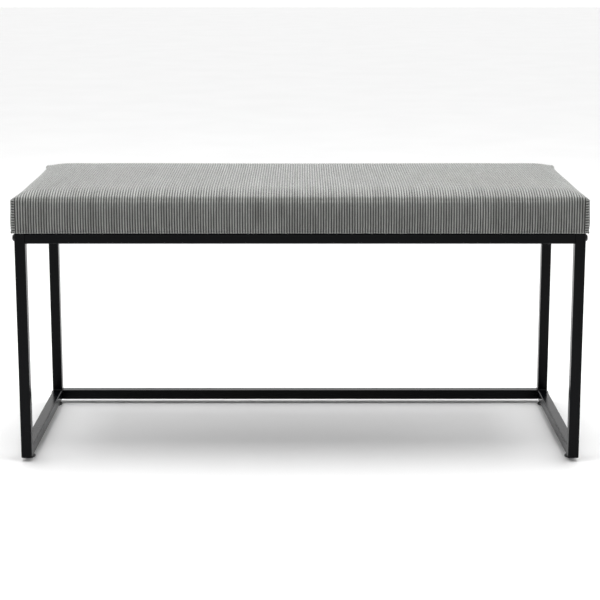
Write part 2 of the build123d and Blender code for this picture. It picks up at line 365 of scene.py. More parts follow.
@dataclass(frozen=True)
class FibreWadding:
    """White polyester wadding: matted crossing fibres."""

    name: str = "matted_wadding"
    colour: Triple = (0.80, 0.80, 0.77)
    fibre_depth: float = 0.0007
    tuft_depth: float = 0.002

    def make(self) -> Material:
        """Build the material."""
        board = NodeBoard(self.name)
        lengthways = board.grain(board.place((90.0, 900.0, 900.0)), 1.0, 3.0, 0.7)
        crossways = board.grain(board.place((900.0, 110.0, 900.0)), 1.0, 3.0, 0.7)
        mat = board.sum(lengthways, crossways, "MAXIMUM")
        matted = board.spread(mat, 0.4, 0.75, 0.0, 1.0)
        colour = board.blend(matted, shade(*self.colour, by=0.75), shade(*self.colour))
        tuft = board.grain(board.place(), 45.0, 3.0)
        tufts = board.bump(tuft, self.tuft_depth, 0.5)
        relief = board.bump(mat, self.fibre_depth, 0.7, tufts)
        return board.finish({
            "Base Color": colour, "Roughness": 1.0, "Sheen Weight": 0.2, "Normal": relief,
        })


@dataclass(frozen=True)
class Corduroy:
    """Pale grey corduroy: a painted highlight on the rib crests and painted shade in the valleys,
    partly the base weave's own darker colour.
    """

    name: str = "pale_corduroy"
    # crest is the lit pile colour; with the two colours below it paints a highlight on the rib tops
    # and shade down the flanks into the valleys.
    crest: Triple = (0.455, 0.466, 0.447)
    flank: Triple = (0.145, 0.147, 0.140)
    valley: Triple = (0.012, 0.0123, 0.0116)
    lint_depth: float = 0.0004
    tuft_depth: float = 0.0009
    sheen_roughness: float = 0.38

    def make(self) -> Material:
        """Build the material."""
        board = NodeBoard(self.name)
        rib = board.node("Attribute", attribute_name="rib").outputs["Fac"]
        nap = board.node("Attribute", attribute_name="nap").outputs["Fac"]
        pile = board.grain(board.cloth_place((2600.0, 420.0, 1.0)), 1.0, 3.0, 0.65)
        tuft = board.grain(board.cloth_place((520.0, 900.0, 1.0)), 1.0, 3.0, 0.65)
        lint = board.grain(board.place(), 3400.0, 2.0, 0.7)
        drift = board.grain(board.place((1.0, 1.6, 1.6)), 7.0, 3.0)
        brushed = board.spread(pile, 0.3, 0.7, 0.0, 1.0)
        # Painted shade: the colour falls from the flank colour to near black down into each rib's
        # valley.
        valley_shade_share = board.spread(rib, 0.1, 0.6, 0.0, 1.0)
        # Painted highlight: the crest colour is given only to the top of each rib.
        crest_highlight_share = board.spread(rib, 0.55, 0.98, 0.0, 1.0)
        parted = board.spread(tuft, 0.45, 0.68, 0.0, 0.38)
        crest = board.blend(brushed, shade(*self.crest, by=0.78), shade(*self.crest))
        flank = board.blend(valley_shade_share, shade(*self.valley), shade(*self.flank))
        colour = board.blend(crest_highlight_share, flank, crest)
        colour = board.blend(parted, colour, shade(*self.flank, by=0.9))
        lift = board.sum(
            board.spread(drift, 0.3, 0.7, 0.93, 1.03), board.spread(nap, 0.0, 1.0, 0.93, 1.06),
            "MULTIPLY",
        )
        colour = board.blend(1.0, colour, board.grey(lift), "MULTIPLY")
        relief = board.bump(pile, self.lint_depth, 0.6)
        relief = board.bump(tuft, self.tuft_depth, 0.7, relief)
        relief = board.bump(lint, self.lint_depth, 0.6, relief)
        return board.finish({
            "Base Color": colour, "Roughness": 0.92, "Specular IOR Level": 0.2, "Normal": relief,
            "Sheen Weight": 1.0, "Sheen Roughness": self.sheen_roughness,
        })


@dataclass(frozen=True)
class SpunCloth:
    """Black spun-bonded dust cloth with its grid of pressed dots."""

    name: str = "spun_dust_cloth"
    colour: Triple = (0.016, 0.016, 0.017)
    loose_fibre: Triple = (0.06, 0.06, 0.062)
    dot_scale: float = 420.0
    dot_depth: float = 0.00012
    fibre_depth: float = 0.0001

    def make(self) -> Material:
        """Build the material."""
        board = NodeBoard(self.name)
        here = board.place((1.0, 1.0, 0.0))
        pressed = board.spread(board.cells(here, self.dot_scale, 0.15), 0.15, 0.4, 0.0, 1.0)
        fibre = board.grain(board.place((300.0, 2200.0, 1.0)), 1.0, 3.0, 0.7)
        colour = board.blend(pressed, shade(*self.colour, by=1.9), shade(*self.colour))
        loose = board.spread(fibre, 0.5, 0.8, 0.0, 0.5)
        colour = board.blend(loose, colour, shade(*self.loose_fibre))
        gloss = board.spread(pressed, 0.0, 1.0, 0.55, 0.85)
        fibres = board.bump(fibre, self.fibre_depth, 0.5)
        relief = board.bump(pressed, self.dot_depth, 0.6, fibres)
        return board.finish({"Base Color": colour, "Roughness": gloss, "Normal": relief})


class Slot(Enum):
    """The record's material slots, each with the finish that dresses it."""

    powder_coated_steel = PowderCoat()
    black_bolt_steel = PlatedSteel(
        "blackened_bolts", (0.022, 0.022, 0.024), 0.30, metal=0.35, tint=(1.0, 0.98, 0.95)
    )
    zinc_plated_steel = PlatedSteel("bright_zinc", (0.60, 0.61, 0.64), 0.30)
    bare_steel = PlatedSteel("bare_mill_steel", (0.40, 0.39, 0.38), 0.38, tint=(0.9, 0.82, 0.72))
    black_foot_plastic = MouldedPlastic()
    plywood = PlyBoard()
    foam = OpenFoam()
    wadding = FibreWadding()
    corduroy = Corduroy()
    dust_cloth = SpunCloth()
    staple_wire = PlatedSteel(
        "galvanised_wire", (0.62, 0.62, 0.63), 0.34, drawn=(600.0, 600.0, 600.0)
    )


class Wardrobe:
    """Makes each finish once and hands it out by its slot name."""

    def __init__(self) -> None:
        """Start with nothing made."""
        self.made: dict[str, Material] = {}

    def finish(self, slot_name: str) -> Material:
        """The material of a slot, made on first use."""
        if slot_name not in self.made:
            self.made[slot_name] = Slot[slot_name].value.make()
        return self.made[slot_name]

    def own(self, made: PowderCoat) -> Material:
        """A finish of a piece's own, made once."""
        if made.name not in self.made:
            self.made[made.name] = made.make()
        return self.made[made.name]

    def dress(self, piece: Piece, material: Material) -> None:
        """Give a piece one material."""
        piece.data.materials.clear()
        piece.data.materials.append(material)

    def fit(self, piece: Piece, body: str, node: str, slot_name: str) -> None:
        """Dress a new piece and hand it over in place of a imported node.

        Args:
            piece: the new piece.
            body: the body that carries it.
            node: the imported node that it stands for.
            slot_name: its material slot.
        """
        self.dress(piece, self.finish(slot_name))
        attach(piece, body)
        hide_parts(node)


# ---- Mesh helpers ----


def new_piece(name: str, shape: Shape, smooth: bool = True) -> Piece:
    """Turn a bmesh into an object in the scene.

    Args:
        name: name of the piece.
        shape: its mesh, which is used up.
        smooth: whether its faces are shaded smooth.

    Returns:
        The object, at the origin.
    """
    mesh = bpy.data.meshes.new(name)
    shape.to_mesh(mesh)
    shape.free()
    if smooth:
        mesh.shade_smooth()
    piece = bpy.data.objects.new(name, mesh)
    bpy.context.scene.collection.objects.link(piece)
    return piece


def box_shape(size: Vector, middle: Vector) -> Shape:
    """A box of a size round its middle."""
    shape = bmesh.new()
    bmesh.ops.create_cube(shape, size=1.0)
    bmesh.ops.scale(shape, vec=size, verts=shape.verts)
    bmesh.ops.translate(shape, vec=middle, verts=shape.verts)
    return shape


def round_edges(
    shape: Shape, edges: list[bmesh.types.BMEdge], width: float, segments: int
) -> None:
    """Round some edges of a shape."""
    bmesh.ops.bevel(
        shape, geom=edges, offset=width, affect="EDGES", segments=segments, profile=0.5,
        material=-1,
    )


def settle_modifiers(piece: Piece) -> None:
    """Make a piece's modifiers part of its mesh."""
    bpy.context.view_layer.update()
    graph = bpy.context.evaluated_depsgraph_get()
    done = bpy.data.meshes.new_from_object(piece.evaluated_get(graph))
    piece.modifiers.clear()
    old = piece.data
    piece.data = done
    bpy.data.meshes.remove(old)


def read_points(mesh: bpy.types.Mesh) -> np.ndarray:
    """The mesh's points as rows of x, y, z."""
    flat = np.zeros(len(mesh.vertices) * 3)
    mesh.vertices.foreach_get("co", flat)
    return flat.reshape(-1, 3)


def write_points(mesh: bpy.types.Mesh, points: np.ndarray) -> None:
    """Move the mesh's points to rows of x, y, z."""
    mesh.vertices.foreach_set("co", points.ravel())
    mesh.update()


def smooth_step(share: np.ndarray) -> np.ndarray:
    """Ease from 0 to 1 as the share goes from 0 to 1."""
    share = np.clip(share, 0, 1)
    return share * share * (3 - 2 * share)


def drift_noise(points: np.ndarray, seed: float) -> np.ndarray:
    """Smooth noise from -1 to 1 at rows of two coordinates."""
    return np.array([noise.noise((a, b, seed)) for a, b in points.tolist()])


# ---- Upholstery ----


@dataclass
class CushionForm:
    """The stuffed shape that the cover is pulled over, from the cover's own box.

    The cloth is laid out flat first: s runs across the ribs and t along them, both from the
    middle of the seat. Past the top's edges it turns down the sides and then in underneath.
    """

    low: Vector
    high: Vector
    plan_round: float = 11 * MM
    top_round: float = 10 * MM
    bottom_round: float = 6 * MM
    crown: float = 4.0 * MM
    corner_lift: tuple[float, float] = (4.0 * MM, 6.0 * MM)
    corner_flare: float = 2.8 * MM
    edge_soft: float = 3.4 * MM
    rear_lift: float = 4.0 * MM
    side_pull: tuple[float, float] = (4.2 * MM, 1.6 * MM)
    side_sink: tuple[float, float] = (2.6 * MM, 0.2 * MM)
    front_pull: float = 1.6 * MM
    front_belly: float = 3.6 * MM
    swell: np.ndarray | None = None
    swell_s: np.ndarray | None = None
    swell_t: np.ndarray | None = None

    def __post_init__(self) -> None:
        """Read the box's half sizes."""
        self.half_length = (self.high.x - self.low.x) / 2
        self.half_depth = (self.high.y - self.low.y) / 2
        self.height = self.high.z - self.low.z

    def fold(self, s: np.ndarray, t: np.ndarray, ear: float) -> np.ndarray:
        """Fold the flat cloth round a sharp-cornered block.

        Args:
            s: places across the ribs.
            t: places along the ribs.
            ear: how far a side flap wraps round the corner before it is folded back.

        Returns:
            Points on the block.
        """
        over_s = np.abs(s) - self.half_length
        over_t = np.abs(t) - self.half_depth
        down = np.clip(np.maximum(over_s, over_t), 0, self.height)
        under = np.clip(np.maximum(over_s, over_t) - self.height, 0, None)
        x = np.minimum(np.abs(s), self.half_length)
        y = np.minimum(np.abs(t), self.half_depth)
        wraps = (over_s > 0) & (over_t > 0)
        tuck = np.minimum(over_t, ear) - 0.25 * np.clip(over_t - ear, 0, None)
        x = np.where(wraps, self.half_length - tuck, x)
        down = np.where(wraps, np.clip(over_s, 0, self.height), down)
        under = np.where(wraps, np.clip(over_s - self.height, 0, None), under)
        side = (over_s > over_t) & ~wraps
        x = np.where(side, x - under, x)
        y = np.where(~side, y - under, y)
        z = self.high.z - down
        return np.stack([np.sign(s) * x, np.sign(t) * y, z], axis=1)

    def soften(self, block: np.ndarray) -> tuple[np.ndarray, np.ndarray]:
        """Round the block's corners and edges.

        Args:
            block: points on the sharp block.

        Returns:
            Points on the rounded block, and their outward normals.
        """
        inner = np.array([self.half_length, self.half_depth]) - self.plan_round
        flat = block[:, :2]
        core = np.clip(flat, -inner, inner)
        out = flat - core
        reach = np.abs(out).max(axis=1)
        length = np.maximum(np.linalg.norm(out, axis=1), 1e-12)
        heading = out / length[:, None] * (reach > 0)[:, None]
        z = block[:, 2]
        upper = z > (self.low.z + self.high.z) / 2
        radius = np.where(upper, self.top_round, self.bottom_round)
        core_reach = np.minimum(reach, self.plan_round - radius)
        core_z = np.clip(z, self.low.z + radius, self.high.z - radius)
        section = np.stack([reach - core_reach, z - core_z], axis=1)
        section /= np.maximum(np.linalg.norm(section, axis=1), 1e-12)[:, None]
        reach = core_reach + section[:, 0] * radius
        level = core_z + section[:, 1] * radius
        points = np.column_stack([core + heading * reach[:, None], level])
        return points, np.column_stack([heading * section[:, :1], section[:, 1:]])

    def settle(self, points: np.ndarray) -> np.ndarray:
        """Move points as the tension of a stapled cover moves the pad under them.

        Args:
            points: rows of x, y, z near the rounded block.

        Returns:
            The moved points.
        """
        u = np.clip(points[:, 0] / self.half_length, -1, 1)
        v = np.clip(points[:, 1] / self.half_depth, -1, 1)
        w = np.clip((points[:, 2] - self.low.z) / self.height, 0, 1)
        # The higher the power of u or v, the closer to that edge a move stays.
        moved = points.copy()
        middle = 1 - np.abs(u) ** 10
        across = 1 - np.abs(v) ** 6
        belly = 4 * w * (1 - w)
        stand = self.front_belly * belly - self.front_pull
        moved[:, 1] += np.sign(v) * np.abs(v) ** 6 * middle * stand
        pull, sink = (np.where(u < 0, *pair) for pair in (self.side_pull, self.side_sink))
        moved[:, 0] -= np.sign(u) * np.abs(u) ** 30 * across * pull * (0.4 * w + 0.6 * belly)
        moved[:, 2] -= w * sink * np.abs(u) ** 24 * (1 - np.abs(v) ** 4)
        moved[:, 2] += w * self.crown * middle * across
        moved[:, 2] += w * self.rear_lift * np.abs(v) ** 8 * (v > 0)
        rim_v = np.abs(v) ** 22 * middle
        rim_u = np.abs(u) ** 56 * (1 - np.abs(v) ** 12)
        moved[:, 2] -= w**2 * self.edge_soft * np.maximum(rim_v, rim_u)
        for axis, side, rim in ((0, u, rim_u), (1, v, rim_v)):
            moved[:, axis] -= np.sign(side) * w**7 * 0.8 * self.edge_soft * rim
        corner = np.abs(u) ** 60 * np.abs(v) ** 20
        moved[:, 2] += w**2 * np.where(v < 0, *self.corner_lift) * corner
        flare = self.corner_flare * corner * (0.15 + 0.85 * w**2)
        moved[:, :2] += np.sign(points[:, :2]) * flare[:, None]
        return moved

    def swelling(self, s: np.ndarray, t: np.ndarray) -> np.ndarray:
        """How far the simulated pad stands out under the cloth.

        Args:
            s: places across the ribs.
            t: places along the ribs.

        Returns:
            Distances along the normal.
        """
        if self.swell is None:
            return np.zeros(len(s))
        column = np.interp(s, self.swell_s, np.arange(len(self.swell_s)))
        row = np.interp(t, self.swell_t, np.arange(len(self.swell_t)))
        i = np.minimum(column.astype(int), len(self.swell_s) - 2)
        j = np.minimum(row.astype(int), len(self.swell_t) - 2)
        a, b = column - i, row - j
        f = self.swell
        near = f[i, j] * (1 - b) + f[i, j + 1] * b
        far = f[i + 1, j] * (1 - b) + f[i + 1, j + 1] * b
        return near * (1 - a) + far * a


@dataclass
class SeatPad:
    """Foam and wadding inside the cover, on the board."""

    form: CushionForm
    wardrobe: Wardrobe
    body: str = "bench_frame"
    wrap_inset: float = 2.6 * MM
    voxel: float = 6 * MM
    pressure: float = 4.0
    frames: int = 20
    cap: float = 5 * MM
    stiffness: float = 25.0
    bending: float = 4.0
    probe: float = 30 * MM
    knot: float = 9 * MM
    side_room: float = 2.4 * MM
    top_room: float = 2.2 * MM
    foam_room: Triple = (4.0, 4.0, 2.0)
    foam_round: float = 9 * MM
    foam_cuts: tuple[int, int, int] = (40, 16, 3)
    foam_rise: float = 2 * MM

    def wadding_start(self) -> Piece:
        """The wadding before it swells: a rounded block a little inside the cover."""
        form = self.form
        low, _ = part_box("seat_wadding")
        size = form.high - form.low - Vector((2, 2, 1)) * self.wrap_inset
        size.z = form.high.z - self.wrap_inset - low.z
        middle = Vector((0, 0, low.z + size.z / 2))
        shape = box_shape(size, middle)
        upright = [e for e in shape.edges if abs((e.verts[0].co - e.verts[1].co).z) > size.z / 2]
        round_edges(shape, upright, form.plan_round - self.wrap_inset, 6)
        rim = [
            e for e in shape.edges
            if all(v.co.z > middle.z for v in e.verts)
            and any(abs(f.normal.z) < 0.5 for f in e.link_faces)
            and any(f.normal.z > 0.5 for f in e.link_faces)
        ]
        round_edges(shape, rim, form.top_round - self.wrap_inset, 6)
        bmesh.ops.triangulate(shape, faces=[f for f in shape.faces if len(f.verts) > 4])
        piece = new_piece("seat_wadding_wrap", shape)
        remesh = piece.modifiers.new("even", "REMESH")
        remesh.mode = "VOXEL"
        remesh.voxel_size = self.voxel
        settle_modifiers(piece)
        return piece

    def puff(self, piece: Piece) -> None:
        """Swell a piece from inside, held where it lies on the board.

        Args:
            piece: the closed mesh, changed in place.
        """
        start = read_points(piece.data)
        floor = start[:, 2].min()
        held = [int(i) for i in np.nonzero(start[:, 2] < floor + 2 * self.voxel)[0]]
        group = piece.vertex_groups.new(name="held")
        group.add(held, 1.0, "REPLACE")
        cloth = piece.modifiers.new("swell", "CLOTH")
        cloth.settings.quality = 4
        cloth.settings.use_pressure = True
        cloth.settings.uniform_pressure_force = self.pressure
        cloth.settings.vertex_group_mass = "held"
        cloth.settings.effector_weights.gravity = 0.0
        cloth.settings.tension_stiffness = self.stiffness
        cloth.settings.compression_stiffness = self.stiffness
        cloth.settings.bending_stiffness = self.bending
        cloth.collision_settings.use_collision = False
        cloth.point_cache.frame_start = 1
        cloth.point_cache.frame_end = self.frames
        scene = bpy.context.scene
        for step in range(1, self.frames + 1):
            scene.frame_set(step)
        settle_modifiers(piece)
        scene.frame_set(1)
        end = read_points(piece.data)
        move = end - start
        length = np.maximum(np.linalg.norm(move, axis=1), 1e-12)
        kept = self.cap * np.tanh(length / self.cap)
        write_points(piece.data, start + move * (kept / length)[:, None])
        piece.vertex_groups.clear()

    def measure(self, piece: Piece) -> None:
        """Read how far the swollen pad stands out under each place of the flat cloth.

        Args:
            piece: the swollen pad.
        """
        form = self.form
        shape = bmesh.new()
        shape.from_mesh(piece.data)
        tree = BVHTree.FromBMesh(shape)
        reach_s = form.half_length + form.height
        reach_t = form.half_depth + form.height
        form.swell_s = np.linspace(-reach_s, reach_s, int(2 * reach_s / self.knot))
        form.swell_t = np.linspace(-reach_t, reach_t, int(2 * reach_t / self.knot))
        s, t = (a.ravel() for a in np.meshgrid(form.swell_s, form.swell_t, indexing="ij"))
        points, normals = form.soften(form.fold(s, t, form.plan_round))
        out = np.zeros(len(s))
        for i, (point, normal) in enumerate(zip(points.tolist(), normals.tolist())):
            start = Vector(point) + Vector(normal) * self.probe
            hit = tree.ray_cast(start, -Vector(normal), 2 * self.probe)
            if hit[0] is not None:
                out[i] = self.probe - hit[3] + self.wrap_inset
        shape.free()
        swell = np.clip(out, -self.cap, self.cap).reshape(len(form.swell_s), -1)
        for _ in range(3):
            padded = np.pad(swell, 1, mode="edge")
            swell = (
                2 * padded[1:-1, 1:-1] + padded[:-2, 1:-1] + padded[2:, 1:-1]
                + padded[1:-1, :-2] + padded[1:-1, 2:]
            ) / 6
        form.swell = swell

    def foam_block(self) -> Piece:
        """The foam: a cut block, softened at its edges and crowned on top."""
        low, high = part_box("seat_foam")
        room = Vector(self.foam_room)
        middle = (low + high) / 2 - Vector((0, 0, room.z / 2)) * MM
        shape = box_shape(high - low - room * MM, middle)
        round_edges(shape, shape.edges[:], self.foam_round, 4)
        for axis, cuts in enumerate(self.foam_cuts):
            step = (high[axis] - low[axis]) / cuts
            for k in range(1, cuts):
                at = Vector((0, 0, 0))
                at[axis] = low[axis] + k * step
                across = Vector((0, 0, 0))
                across[axis] = 1
                geom = shape.verts[:] + shape.edges[:] + shape.faces[:]
                bmesh.ops.bisect_plane(shape, geom=geom, plane_co=at, plane_no=across)
        piece = new_piece("seat_foam_block", shape)
        points = read_points(piece.data)
        settled = self.form.settle(points)
        settled[:, 2] = np.minimum(settled[:, 2], points[:, 2] + self.foam_rise)
        write_points(piece.data, settled)
        return piece

    def build(self) -> list[Piece]:
        """Make the foam and the wadding, and dress them.

        Returns:
            The new pieces.
        """
        wadding = self.wadding_start()
        self.puff(wadding)
        self.measure(wadding)
        form = self.form
        points = form.settle(read_points(wadding.data))
        middle = (form.low.z + form.high.z) / 2
        points[:, :2] *= 1 - self.side_room / form.half_depth
        points[:, 2] -= self.top_room * np.clip((points[:, 2] - middle) / form.height * 2, 0, 1)
        write_points(wadding.data, points)
        wadding.data.shade_smooth()
        foam = self.foam_block()
        for piece, node, slot_name, fill in (
            (wadding, "seat_wadding", "wadding", 0.85), (foam, "seat_foam", "foam", 0.95),
        ):
            self.wardrobe.fit(piece, self.body, node, slot_name)
        return [wadding, foam]


@dataclass
class SeatCover:
    """The ribbed cover: one cut of cloth, folded at the corners and turned in underneath."""

    form: CushionForm
    wardrobe: Wardrobe
    body: str = "bench_frame"
    rib_pitch: float = 4.55 * MM
    rib_count: int = 276
    points_per_rib: int = 5
    rib_height: float = 1.7 * MM
    rib_power: float = 1.15
    rib_sunk: float = 0.75
    rib_press_under: float = 0.75
    rib_press_ear: float = 0.68
    turn_in: float = 52 * MM
    bend_reach: float = 14 * MM
    turn_reach: tuple[float, float] = (6 * MM, 5 * MM)
    row_gaps: tuple[float, ...] = (8 * MM, 2.4 * MM, 4.5 * MM, 2 * MM, 10 * MM)
    spare: float = 2 * MM
    ear: float = 11.5 * MM
    ear_fold: float = 3.5 * MM
    ear_lead: float = 1.5 * MM
    ear_start: float = 1 * MM
    ear_ramp: float = 8 * MM
    ear_rise: float = 9 * MM
    ear_tuck: float = 3 * MM
    ear_short: float = 3 * MM
    pucker: float = 0.9 * MM
    ripple: float = 0.8 * MM
    cloth: float = 1.3 * MM

    def rows(self) -> np.ndarray:
        """Where the cloth's rows lie along the ribs, closer together where it bends."""
        brim = self.form.half_depth
        foot = brim + self.form.height
        stops = (
            0.0, brim - self.bend_reach, brim + self.bend_reach, foot - self.turn_reach[0],
            foot + self.turn_reach[1], foot + self.turn_in + self.spare,
        )
        places: list[float] = []
        for start, end, gap in zip(stops, stops[1:], self.row_gaps):
            count = max(1, round((end - start) / gap))
            places += [start + (end - start) * k / count for k in range(count)]
        places.append(stops[-1])
        half = np.array(places)
        return np.concatenate([-half[:0:-1], half])

    def cut(self, s: float, t: float) -> bool:
        """Whether the cloth is cut away at a place.

        Args:
            s: place across the ribs.
            t: place along the ribs.

        Returns:
            True where there is no cloth.
        """
        form = self.form
        side = abs(s) - form.half_length
        front = abs(t) - form.half_depth
        if side > 0 and front > 0:
            return front > self.ear + self.ear_fold or side > form.height - self.ear_short
        under_front = front - form.height
        if under_front > 0:
            return under_front > self.turn_in or under_front > -side
        under_side = side - form.height
        return under_side > 0 and (under_side > self.turn_in or under_side > -front)

    def flat_cloth(self) -> Piece:
        """The cloth laid flat and cut to its outline."""
        rows = self.rows()
        columns = self.rib_count * self.points_per_rib
        shape = bmesh.new()
        bmesh.ops.create_grid(shape, x_segments=columns, y_segments=len(rows) - 1, size=0.5)
        width = self.rib_count * self.rib_pitch
        for vert in shape.verts:
            vert.co.x *= width
            vert.co.y = rows[round((vert.co.y + 0.5) * (len(rows) - 1))]
        gone = [face for face in shape.faces if self.cut(*face.calc_center_median().xy)]
        bmesh.ops.delete(shape, geom=gone, context="FACES")
        layer = shape.loops.layers.uv.new("cloth")
        for face in shape.faces:
            for loop in face.loops:
                loop[layer].uv = loop.vert.co.xy
        return new_piece("seat_cover_corduroy", shape)

    def ribs(self, s: np.ndarray, t: np.ndarray) -> tuple[np.ndarray, np.ndarray]:
        """Height of the pile over the base weave.

        Args:
            s: places across the ribs.
            t: places along the ribs.

        Returns:
            The rib shape from 0 to 1, and how full each stretch of rib is, about 1.
        """
        wander = 0.10 * drift_noise(np.stack([s * 9, t * 7], axis=1), 1.5)
        wander += 0.04 * drift_noise(np.stack([s * 95, t * 1.5], axis=1), 4.5)
        phase = s / self.rib_pitch + wander
        shape = np.abs(np.sin(np.pi * phase)) ** self.rib_power
        index = np.floor(phase)
        full = 1 + 0.14 * drift_noise(np.stack([index * 0.73, t * 16], axis=1), 8.5)
        full += 0.07 * drift_noise(np.stack([index * 1.7, t * 150], axis=1), 2.5)
        return shape, full

    def puckers(self, block: np.ndarray, normals: np.ndarray) -> np.ndarray:
        """Small folds where the cloth is pulled in at the bottom edge.

        Args:
            block: points on the pad.
            normals: their outward normals.

        Returns:
            Distances along the normal.
        """
        form = self.form
        height = np.clip((block[:, 2] - form.low.z) / form.height, 0, 1)
        faces_front = np.abs(normals[:, 1]) > np.abs(normals[:, 0])
        along = np.where(faces_front, block[:, 0], block[:, 1] + 3.0)
        near = np.clip(1 - height / 0.4, 0, 1) ** 2 * (normals[:, 2] > -0.6)
        fold = drift_noise(np.stack([along * 42, height * 1.2], axis=1), 6.5)
        wide = drift_noise(np.stack([along * 11, height * 0.8], axis=1), 3.5)
        upright = np.sqrt(np.clip(1 - normals[:, 2] ** 2, 0, 1))
        belly = 4 * height * (1 - height)
        return self.pucker * near * fold + self.ripple * wide * upright * belly

    def build(self) -> Piece:
        """Lay, fold and stuff the cloth, and close its raw edges.

        Returns:
            The cover.
        """
        piece = self.flat_cloth()
        form = self.form
        flat = read_points(piece.data)
        s, t = flat[:, 0], flat[:, 1]
        block = form.fold(s, t, self.ear)
        points, normals = form.soften(block)
        rib, full = self.ribs(s, t)
        over_s = np.abs(s) - form.half_length
        over_t = np.abs(t) - form.half_depth
        wraps = (over_s > 0) & (over_t > 0)
        start = smooth_step((over_s - self.ear_start) / self.ear_ramp)
        rise = smooth_step(1 + over_t / self.ear_rise) * (over_s > 0)
        tucked = (1 - start) * np.clip(over_t / self.ear_tuck, 0, 1) * wraps
        fold = np.clip((over_t - self.ear + self.ear_lead) / self.ear_fold, 0, 1.4) * wraps
        layer = self.cloth * (start * rise - 0.9 * tucked - 1.2 * fold**2)
        under = np.clip((-normals[:, 2] - 0.3) / 0.5, 0, 1)
        height = self.rib_height * (1 - self.rib_press_under * under)
        height = height * (1 - self.rib_press_ear * rise)
        offset = height * rib * full - self.rib_sunk * height + layer
        offset += form.swelling(s, t) * (1 - under) + self.puckers(block, normals) * ~wraps
        placed = form.settle(points) + normals * offset[:, None]
        lowest = np.where(under > 0.9, form.low.z + 0.1 * MM, -np.inf)
        placed[:, 2] = np.maximum(placed[:, 2], lowest)
        write_points(piece.data, placed)
        # The rib attribute also drives the corduroy's painted crest highlight and valley shade.
        values = {"rib": rib * full, "nap": np.clip(full * 2.2 - 1.7, 0, 1)}
        for name, value in values.items():
            made = piece.data.attributes.new(name, "FLOAT", "POINT")
            made.data.foreach_set("value", value.astype(np.float32))
        self.hem(piece)
        self.wardrobe.fit(piece, self.body, "seat_cover", "corduroy")
        return piece

    def hem(self, piece: Piece) -> None:
        """Give the cloth's raw edges their thickness.

        Args:
            piece: the cover, changed in place.
        """
        shape = bmesh.new()
        shape.from_mesh(piece.data)
        edge = [e for e in shape.edges if e.is_boundary]
        inward = {v: v.normal.copy() for e in edge for v in e.verts}
        fresh = bmesh.ops.extrude_edge_only(shape, edges=edge)["geom"]
        rim = [g for g in fresh if isinstance(g, bmesh.types.BMVert)]
        for vert in rim:
            twin = [e.other_vert(vert) for e in vert.link_edges if e.other_vert(vert) in inward]
            if twin:
                vert.co -= inward[twin[0]] * self.cloth
        shape.to_mesh(piece.data)
        shape.free()
        piece.data.shade_smooth()


@dataclass
class DustCover:
    """The black cloth stapled under the seat, pulled flat."""

    wardrobe: Wardrobe
    body: str = "bench_frame"
    cell: float = 8 * MM
    thickness: float = 0.35 * MM
    sag: float = 1.8 * MM
    staple_pitch: float = 50 * MM
    staple_pull: float = 0.2 * MM

    def build(self) -> Piece:
        """Make the sheet.

        Returns:
            The sheet.
        """
        low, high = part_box("dust_cover")
        size = high - low
        shape = bmesh.new()
        columns, rows = (round(size[k] / self.cell) for k in (0, 1))
        bmesh.ops.create_grid(shape, x_segments=columns, y_segments=rows, size=0.5)
        bmesh.ops.scale(shape, vec=(size.x, size.y, 1), verts=shape.verts)
        bmesh.ops.translate(shape, vec=(0, 0, high.z - self.thickness), verts=shape.verts)
        for vert in shape.verts:
            x, y = vert.co.xy
            u, v = 2 * x / size.x, 2 * y / size.y
            inner = max(0.0, (1 - u**8) * (1 - v**4))
            wave = 0.5 + 0.5 * noise.noise((x * 7, y * 9, 2.5))
            tight = math.cos(2 * math.pi * (x if abs(v) > abs(u) else y) / self.staple_pitch)
            edge = max(abs(u) ** 24, abs(v) ** 10)
            lifted = self.staple_pull * edge * (1 - tight) * (1 - edge) * 2
            vert.co.z -= inner * self.sag * wave + lifted
        piece = new_piece("dust_cover_cloth", shape)
        wall = piece.modifiers.new("wall", "SOLIDIFY")
        wall.thickness = self.thickness
        wall.offset = 1.0
        settle_modifiers(piece)
        self.wardrobe.fit(piece, self.body, "dust_cover", "dust_cloth")
        return piece


# ---- Levelling feet ----


class Corner(Enum):
    """The four corners of the bench that stand on a foot."""

    FRONT_LEFT = "front_left"
    FRONT_RIGHT = "front_right"
    REAR_LEFT = "rear_left"
    REAR_RIGHT = "rear_right"


